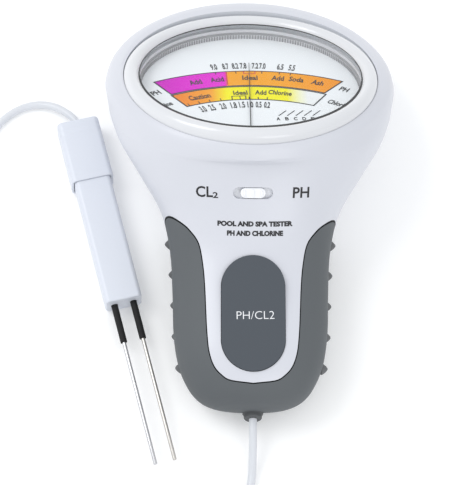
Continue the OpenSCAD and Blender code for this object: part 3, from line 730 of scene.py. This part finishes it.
magenta = (0.72, 0.006, 0.58)
orange = (0.93, 0.37, 0.006)
ph_ink = ramp_finish("ph_ink", [
    (-37, (0.6, 0.004, 0.5)), (-24, magenta), (-10, (0.8, 0.02, 0.62)), (-9.2, (0.8, 0.02, 0.4)),
    (-8.5, orange), (10, orange), (36, (0.92, 0.3, 0.01))])
yellow = (0.93, 0.84, 0.004)
chlorine_ink = ramp_finish("chlorine_ink", [
    (-30, (0.88, 0.22, 0.02)), (-15, (0.92, 0.36, 0.02)), (-9, yellow), (14, yellow),
    (19, (0.9, 0.89, 0.6)), (22, (0.87, 0.87, 0.86))])
black_ink = finish_of("black_ink", (0.012, 0.012, 0.014), 0.5, grain=2500.0)
red_ink = finish_of("red_ink", (0.62, 0.02, 0.04), 0.5, grain=2500.0)


def printed(name, loops, height, material, place=PRINT):
    """Flat printed shapes: each loop is one face, raised by the thickness of the ink."""
    points, faces = [], []
    for loop in loops:
        faces.append(list(range(len(points), len(points) + len(loop))))
        points += [place @ Vector((x, y, height)) * MM for x, y in loop]
    mesh = bpy.data.meshes.new(name)
    mesh.from_pydata(points, [], faces)
    mesh.materials.append(material)
    piece = bpy.data.objects.new(name, mesh)
    bpy.context.collection.objects.link(piece)
    modify(piece, "SOLIDIFY", thickness=0.02 * MM, offset=-1)
    return piece


def arc(radius, start, stop, steps=40):
    return [polar(radius, start + (stop - start) * k / steps) for k in range(steps + 1)]


def band(outer, inner, outer_ends, inner_ends, steps=40):
    high, low = arc(outer, *outer_ends, steps), arc(inner, *inner_ends, steps)
    return [[high[k], low[k], low[k + 1], high[k + 1]] for k in range(steps)]


def stroke(points, width, closed=False):
    """A printed line of even width along points, as short four-sided shapes."""
    points = [Vector(p) for p in points]
    count = len(points)
    sides = []
    for i, p in enumerate(points):
        before = points[i - 1] if i or closed else p
        after = points[(i + 1) % count] if i < count - 1 or closed else p
        first = (p - before).normalized() if (p - before).length else (after - p).normalized()
        second = (after - p).normalized() if (after - p).length else first
        normal = Vector((-(first + second).y, (first + second).x)).normalized()
        reach = width / 2 / max(normal.dot(Vector((-second.y, second.x))), 0.4)
        sides.append((p + normal * reach, p - normal * reach))
    pairs = range(count if closed else count - 1)
    return [[sides[i][0], sides[i][1], sides[(i + 1) % count][1], sides[(i + 1) % count][0]]
            for i in pairs]


PH_ENDS = ((-27.5, 26.9), (-26.6, 24.7))
CL_ENDS = ((-26.9, 25.4), (-25.8, 24.3))
PH_R, CL_R = (80.3, 68.4), (67.6, 57.2)
finished(printed("ph_scale", band(*PH_R, *PH_ENDS), PRINT_Z + 0.03, ph_ink), "ph_scale", "case")
finished(printed("chlorine_scale", band(*CL_R, *CL_ENDS), PRINT_Z + 0.03, chlorine_ink),
         "chlorine_scale", "case")


def tick(x, radius, length, width=0.36):
    degrees = math.degrees(math.asin(x / radius))
    return stroke([polar(radius, degrees), polar(radius + length, degrees)], width)


line_w = 0.6
lines = []
lines += stroke(arc(PH_R[0], *PH_ENDS[0]) + arc(PH_R[1], *reversed(PH_ENDS[1])), line_w, True)
lines += stroke(arc(CL_R[0], *CL_ENDS[0]) + arc(CL_R[1], *reversed(CL_ENDS[1])), line_w, True)
for x in (-13.0, -4.9, 5.4, 12.3, 16.6):
    lines += tick(x, PH_R[0], -1.9)
for x in (-23.8, -19.8, -15.8, -11.6, -4.2, -0.8, 2.6, 6.0):
    lines += tick(x, CL_R[1], 2.0 if x != -4.2 else 2.5)
lines += stroke([polar(57.4, -7.4), polar(60.1, -7.1), polar(60.1, -2.0), polar(57.4, -2.1)], 0.4)
for k in range(5):
    lines += stroke([(9.6 + 3.25 * k, -20.8), (12.7 + 3.25 * k, -16.8)], 0.42)
finished(printed("scale_lines", lines, PRINT_Z + 0.07, black_ink), "scale_lines", "case")
reds = stroke([polar(69.4, -7.1), polar(80.1, -6.2)], 0.55)
reds += stroke([polar(80.1, -1.3), polar(78.2, -1.3), polar(78.2, 1.9), polar(80.1, 1.9)], 0.38)
finished(printed("red_lines", reds, PRINT_Z + 0.055, red_ink), "red_lines", "case")


def words(name, labels, material, place, surface=None, weight=0.0):
    """Printed words. Each is (text, x, y, width, height, turn in degrees), centred at x, y."""
    pieces = []
    for text, x, y, width, height, turn in labels:
        deselect()
        bpy.ops.object.text_add()
        label = bpy.context.object
        label.data.body = text
        label.data.offset = weight
        label.data.resolution_u = 3
        bpy.ops.object.convert(target="MESH")
        label = bpy.context.object
        spots = [v.co for v in label.data.vertices]
        low = [min(s[n] for s in spots) for n in (0, 1)]
        high = [max(s[n] for s in spots) for n in (0, 1)]
        label.data.transform(
            place @ Matrix.Translation((x, y, 0)) @ Matrix.Rotation(math.radians(turn), 4, "Z")
            @ Matrix.Diagonal((width / (high[0] - low[0]), height / (high[1] - low[1]), 1, 1))
            @ Matrix.Translation((-(low[0] + high[0]) / 2, -(low[1] + high[1]) / 2, 0)))
        label.data.transform(Matrix.Scale(MM, 4))
        pieces.append(label)
    deselect()
    for label in pieces:
        label.select_set(True)
    bpy.context.view_layer.objects.active = pieces[0]
    bpy.ops.object.join()
    piece = bpy.context.object
    piece.name = name
    piece.data.materials.clear()
    piece.data.materials.append(material)
    if surface:
        modify(piece, "TRIANGULATE")
        tree = BVHTree.FromObject(surface, bpy.context.evaluated_depsgraph_get())
        down = -(place.to_3x3() @ Vector((0, 0, 1)))
        for vertex in piece.data.vertices:
            hit = tree.ray_cast(vertex.co - down * 0.012, down)[0]
            if hit:
                vertex.co = hit - down * 0.00004
    modify(piece, "SOLIDIFY", thickness=0.02 * MM, offset=-1 if surface else 0)
    return piece


def on_arc(text, radius, x, width, height):
    degrees = math.degrees(math.asin(x / radius))
    return (text, *polar(radius, degrees), width, height, -degrees)


labels = []
for text, x in (("9.0", -13.3), ("8.7", -8.7), ("8.2", -4.9), ("7.8", -1.7), ("7.2", 3.0),
                ("7.0", 5.9), ("6.5", 12.9), ("5.5", 17.4)):
    labels.append(on_arc(text, 84.7, x, 2.5, 4.8))
for text, x in (("3.0", -18.9), ("2.5", -15.4), ("2.0", -11.2), ("1.8", -7.1), ("1.5", -3.9),
                ("1.0", -0.7), ("0.5", 2.5), ("0.2", 5.7)):
    labels.append(on_arc(text, 53.0, x, 2.25, 4.7))
for text, radius, x, width, height in (
        ("Add", 74.2, -21, 5.0, 3.9), ("Acid", 74.3, -12.5, 5.3, 3.9), ("Ideal", 74.7, 0.4, 6, 3.6),
        ("Add", 75.2, 11.3, 4.8, 3.9), ("Soda", 75.5, 18.5, 5.8, 3.9),
        ("Ash", 75.4, 26.6, 4.8, 3.9),
        ("Caution", 62.5, -19.9, 8.6, 3.8), ("Ideal", 62.6, -4.0, 5.5, 3.4),
        ("Add", 62.8, 3.9, 4.4, 3.6), ("Chlorine", 63.4, 11.4, 9.1, 3.6),
        ("PH", 72.4, -36.6, 3.7, 3.4), ("PH", 74.6, 36.5, 3.6, 3.4),
        ("Chlorine", 62.4, -34.6, 9.2, 3.2), ("Chlorine", 62.9, 33.4, 9.2, 3.2)):
    labels.append(on_arc(text, radius, x, width, height))
for k, text in enumerate("ABCDE"):
    labels.append((text, 9.3 + 3.27 * k, -23.2, 1.4, 2.4, 0))
dial_words = words("dial_words", labels, black_ink,
                   PRINT @ Matrix.Translation((0, 0, PRINT_Z + 0.08)), weight=0.025)
finished(dial_words, "dial_words", "case")

# ---- Needle ----
# A stamped aluminium needle painted black, with a hub and a tail that balances it. It sits on the
# spindle of the coil, just above the dial.
needle_finish = finish_of("needle_black", (0.03, 0.03, 0.034), 0.5, grain=900.0)
needle_outline = [(-0.95, 0), (-0.03, 54.2), (0.17, 54.2), (-0.55, 0)]
needle = prism("needle", needle_outline, -4.55, -4.3, DIAL @ Matrix.Translation((0, -34, 0)),
               needle_finish)
hub = turned("hub", [(0.2, -4.6), (1.6, -4.6), (1.6, -3.9), (1.3, -3.7), (0.2, -3.7)],
             DIAL @ Matrix.Translation((0, -34, 0)), needle_finish, 32)
tail = prism("tail", [(0.7, 0), (1.4, -6), (-1.4, -6), (-0.7, 0)], -4.6, -4.1,
             DIAL @ Matrix.Translation((0, -34, 0)), needle_finish)
deselect()
for part in (needle, hub, tail):
    part.select_set(True)
bpy.context.view_layer.objects.active = needle
bpy.ops.object.join()
finished(needle, "needle_blade", "needle", ("pointer",))

# ---- Button ----
# A slate grey stadium-shaped key with a gentle crown and a softened edge, lettered in white. It
# rides on the push switch below it.
button_finish = finish_of("button_slate", (0.058, 0.069, 0.084), 0.5, spread=0.05, grain=1500.0,
                          dust=0.06)
button = prism("button", stadium(BUTTON_W, BUTTON_L), -3.4, 0.6, BUTTON, button_finish)
activate(button)
bpy.ops.object.mode_set(mode="EDIT")
bpy.ops.mesh.select_all(action="DESELECT")
edit = bmesh.from_edit_mesh(button.data)
button_up = (BUTTON.to_3x3() @ Vector((0, 0, 1))).normalized()
for face in edit.faces:
    face.select = face.normal.dot(button_up) > 0.9
bmesh.update_edit_mesh(button.data)
for inset, rise in ((0.25, 0.3), (0.5, 0.2), (1.2, 0.1), (3.0, 0.08), (3.0, 0.03)):
    bpy.ops.mesh.inset(thickness=inset * MM)
    bpy.ops.transform.translate(value=button_up * rise * MM)
bpy.ops.object.mode_set(mode="OBJECT")
finished(button, "mode_key", "button", ("mode_button",), 25)
ink_white = finish_of("white_ink", (0.85, 0.86, 0.88), 0.5, grain=2500.0)
key_words = words("key_words", [("PH/CL2", 0.8, -0.95, 14, 3.0, 1)], ink_white, BUTTON, button,
                  -0.012)
finished(key_words, "key_words", "button")

# ---- Mode slider ----
# A small white slider in a slot across the neck, with three low ribs for the fingernail. Its white
# is painted lighter than the shell's, as painted light that offsets the shade inside the slot.
slider_painted_light_finish = finish_of("slider_white", (0.86, 0.87, 0.9), 0.4, grain=1400.0)
slider = prism("slider", stadium(3.9, 9.3, "x"), -1.9, -0.4, SLOT, slider_painted_light_finish)
plate = block("plate", (-10.2, -4.4, -3.7), (10.2, 4.4, -2.5), SLOT, slider_painted_light_finish)
carve(slider, plate, "UNION")
for k in (-1, 0, 1):
    carve(slider, block("rib", (3.2 * k - 0.3, -1.3, -0.6), (3.2 * k + 0.3, 1.3, 0.1), SLOT,
                        slider_painted_light_finish), "UNION")
modify(slider, "BEVEL", width=0.15 * MM, segments=2, limit_method="ANGLE")
finished(slider, "mode_slide_key", "slider", ("mode_slider",))

# ---- Lettering on the neck ----
# Black pad print: the two modes at the ends of the slot and what the tester is for.
mode_words = words("mode_words", [
    ("CL", -18.1, 0.0, 6.3, 4.3, 2), ("2", -14.0, -1.1, 2.0, 2.3, 2),
    ("PH", 18.0, 0.05, 6.2, 4.2, -1)],
    black_ink, SLOT, front_housing, 0.02)
finished(mode_words, "mode_words", "case")
neck_words = words("neck_words", [
    ("POOL AND SPA TESTER", 1.0, -11.7, 28.2, 2.0, 0),
    ("PH AND CHLORINE", 1.0, -15.2, 21, 2.0, 0)], black_ink, SLOT, front_housing, 0.06)
finished(neck_words, "neck_words", "case")

# ---- Cord gland ----
# A dark grey rubber bush with a chamfered nose, held by a groove in the end of the housing.
gland_finish = finish_of("gland_rubber", (0.085, 0.09, 0.095), 0.6, grain=1200.0, dust=0.06)
GLAND = (Matrix.Translation((gland_x, gland_y, gland_z))
         @ Matrix.Rotation(math.radians(-90), 4, "X"))
gland = turned("gland", [(1.55, 0), (3.1, 0), (3.4, 0.4), (3.5, 1.7), (3.9, 2), (3.9, 3.5),
                         (2.9, 3.5), (2.9, 10.8), (3.9, 10.8), (3.9, 12.2), (1.55, 12.2)],
               GLAND, gland_finish, 64)
finished(gland, "cord_gland_bush", "case", ("cord_gland",))

# ---- Probe ----
# White ABS: a cap with a lip over a slimmer body. Two black sleeves guard the roots of the two
# metal rods, and a clear bush holds the cord at the top.
PROBE = Matrix.Translation((-67.3, 94, 0)) @ Matrix.Rotation(math.radians(14.1), 4, "Z")
AXIS_Z = 5.5
BODY_W, BODY_T = 14.3, 9.5
probe_finish = finish_of("probe_abs", (0.66, 0.69, 0.76), 0.38, grain=1400.0, coat=0.1)


def rounded(width, thickness, radius, count=8):
    out = []
    for corner in range(4):
        for k in range(count + 1):
            turn = math.radians(90 * corner + 90 * k / count)
            out.append((math.copysign(width / 2 - radius, math.cos(math.radians(90 * corner + 45)))
                        + radius * math.cos(turn),
                        math.copysign(thickness / 2 - radius,
                                      math.sin(math.radians(90 * corner + 45)))
                        + radius * math.sin(turn)))
    return out


def probe_bar(name, rows, material):
    """A bar along the probe: each row is (distance, width, thickness, corner radius)."""
    return skin(name, [[PROBE @ Vector((x, -y, AXIS_Z + z))
                        for x, z in rounded(width, thickness, radius)]
                       for y, width, thickness, radius in rows], material)


cap = probe_bar("cap", [(0, 15.6, 9.6, 1.6), (0.3, 16.2, 10.2, 1.9),
                        (0.9, 16.5, 10.5, 2.1), (2.6, 16.6, 10.7, 2.2),
                        (3.2, 16.35, 10.45, 2.1), (3.8, 16.6, 10.7, 2.2),
                        (5.2, 16.6, 10.75, 2.2), (5.8, 16.35, 10.5, 2.1),
                        (6.4, 16.6, 10.75, 2.2), (16, 16.7, 10.9, 2.2),
                        (24.2, 16.75, 10.9, 2.2), (24.9, 16.8, 11, 2.2),
                        (26.2, 16.8, 11, 2.2), (26.7, 16.4, 10.6, 2)], probe_finish)
carve(cap, probe_bar("cap_room", [(3, BODY_W + 0.2, BODY_T + 0.2, 1.9),
                                  (24, BODY_W + 0.2, BODY_T + 0.2, 1.9),
                                  (27.5, BODY_W + 0.7, BODY_T + 0.7, 1.9)], probe_finish))
finished(cap, "probe_cap_shell", "case", ("probe_cap",))
probe = probe_bar("probe", [(5, BODY_W, BODY_T, 1.9), (78.6, BODY_W, BODY_T, 1.9),
                            (79.2, 14, 9.2, 1.7), (79.5, 13.4, 8.6, 1.4)], probe_finish)
carve(probe, probe_bar("probe_room", [(4, 11.4, 6.6, 1.5), (70, 11.4, 6.6, 1.5)],
                       probe_finish))
ROD_X = 3.7
for side in (-1, 1):
    # The hole's walls take the painted gap shade.
    hole = prism("sleeve_hole", circle(1.35, 32), -60, 30,
                 PROBE @ Matrix.Translation((side * ROD_X, -80, AXIS_Z))
                 @ Matrix.Rotation(math.radians(90), 4, "X"),
                 gap_painted_shade)
    carve(probe, hole)
finished(probe, "probe_body_shell", "case", ("probe_body",))

sleeve_finish = finish_of("sleeve_black", (0.003, 0.003, 0.004), 0.75, grain=900.0)
rod_finish = finish_of("rod_steel", (0.62, 0.62, 0.64), 0.28, group=drawn, spread=0.1,
                       grain=2200.0, dust=0.1, metal=1.0)
tin_finish = finish_of("rod_tinned", (0.62, 0.6, 0.57), 0.34, group=drawn, spread=0.15,
                       grain=2200.0, dust=0.12, metal=1.0)
for side, word, finish in ((-1, "left", rod_finish), (1, "right", tin_finish)):
    axis = (PROBE @ Matrix.Translation((side * ROD_X, -50, AXIS_Z))
            @ Matrix.Rotation(math.radians(90), 4, "X"))
    sleeve = turned("sleeve_" + word, [(0.79, 20.6), (1.3, 20.6), (1.3, 45.2), (1.12, 45.4),
                                       (0.79, 45.4)], axis, sleeve_finish, 32)
    finished(sleeve, "sleeve_tube_" + word, "case", ("sleeve_" + word,))
    rod = prism("rod_" + word, circle(0.78, 32), 0, 96.0, axis, finish)
    modify(rod, "BEVEL", width=0.3 * MM, segments=3, limit_method="ANGLE")
    finished(rod, "rod_" + word, "case",
             ("electrode_" + word,))

bush_finish, tree, shader = node_material("bush_pvc")
shader.inputs["Transmission Weight"].default_value = 0.55
shader.inputs["IOR"].default_value = 1.3
effect = tree.nodes.new("ShaderNodeGroup")
effect.node_tree = moulded
effect.inputs["Tone"].default_value = (0.6, 0.74, 0.88, 1)
effect.inputs["Gloss"].default_value = 0.2
link(tree, effect.outputs["Colour"], shader.inputs["Base Color"])
link(tree, effect.outputs["Roughness"], shader.inputs["Roughness"])
BUSH = (PROBE @ Matrix.Translation((0, 1.2, AXIS_Z)) @ Matrix.Rotation(math.radians(90), 4, "X"))
bush = turned("bush", [(1.55, 0), (1.8, 0), (2.0, 0.4), (2.0, 6), (1.55, 6)], BUSH, bush_finish, 32)
finished(bush, "probe_bush_sleeve", "case", ("probe_bush",))

# ---- Meter, board and fasteners ----
# Made in the shapes they need and kept as they are: brass frame and bearings, iron yoke, sintered
# magnet, copper winding, green board with its small parts, steel screws and springs.
brass = finish_of("brass", (0.6, 0.45, 0.2), 0.35, group=drawn, metal=1.0, spread=0.12, dust=0.08)
iron = finish_of("soft_iron", (0.3, 0.3, 0.31), 0.5, group=drawn, metal=1.0, spread=0.15, dust=0.12)
magnet = finish_of("magnet", (0.12, 0.12, 0.13), 0.7, spread=0.15, grain=1800.0, dust=0.2,
                   metal=0.4)
steel = finish_of("bright_steel", (0.55, 0.55, 0.57), 0.32, group=drawn, metal=1.0, dust=0.08)
copper = finish_of("winding", (0.55, 0.2, 0.08), 0.35, group=drawn, metal=0.9, grain=3000.0,
                   dust=0.3)
card = finish_of("dial_card", (0.9, 0.9, 0.91), 0.5, spread=0.03, grain=1800.0, dust=0.02)
board = finish_of("solder_mask", (0.02, 0.14, 0.05), 0.35, spread=0.15, grain=300.0, coat=0.3)
black_part = finish_of("switch_black", (0.02, 0.02, 0.022), 0.45, grain=900.0, dust=0.08)
blue_part = finish_of("trimmer_blue", (0.02, 0.07, 0.3), 0.4, grain=900.0)
cream_part = finish_of("trimmer_cream", (0.6, 0.57, 0.46), 0.5, grain=900.0)
white_part = finish_of("plunger_white", (0.68, 0.69, 0.7), 0.45, grain=900.0)
lacquer = finish_of("resistor_lacquer", (0.45, 0.32, 0.16), 0.4, spread=0.3, grain=300.0, coat=0.3)
navy = finish_of("capacitor_sleeve", (0.02, 0.025, 0.06), 0.3, grain=900.0, coat=0.2)
red_wire = finish_of("red_wire", (0.4, 0.015, 0.012), 0.4, grain=1200.0)
block_part = finish_of("rod_block", (0.55, 0.55, 0.5), 0.5, grain=900.0)
kept = {
    "window_lens": lens_finish, "dial_plate": card, "meter_frame": brass, "meter_yoke": iron,
    "meter_core": magnet, "top_bearing": brass, "bottom_bearing": brass, "meter_screws": steel,
    "moving_coil": copper, "coil_spindle": steel, "hair_springs": brass,
    "switch_plunger": white_part, "button_spring": steel, "push_switch": black_part,
    "slide_switch": black_part, "circuit_board": board, "board_screws": steel,
    "housing_screws": steel, "trimmer_bodies": blue_part, "trimmer_ph": cream_part,
    "trimmer_chlorine": cream_part, "resistors": lacquer, "capacitors": navy,
    "meter_leads": red_wire, "cord_clamp": white_part, "electrode_block": block_part,
    "probe_wires": red_wire}
for node_name, material in kept.items():
    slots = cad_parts[node_name].data.materials
    if not len(slots):
        slots.append(material)
    for k in range(len(slots)):
        slots[k] = material
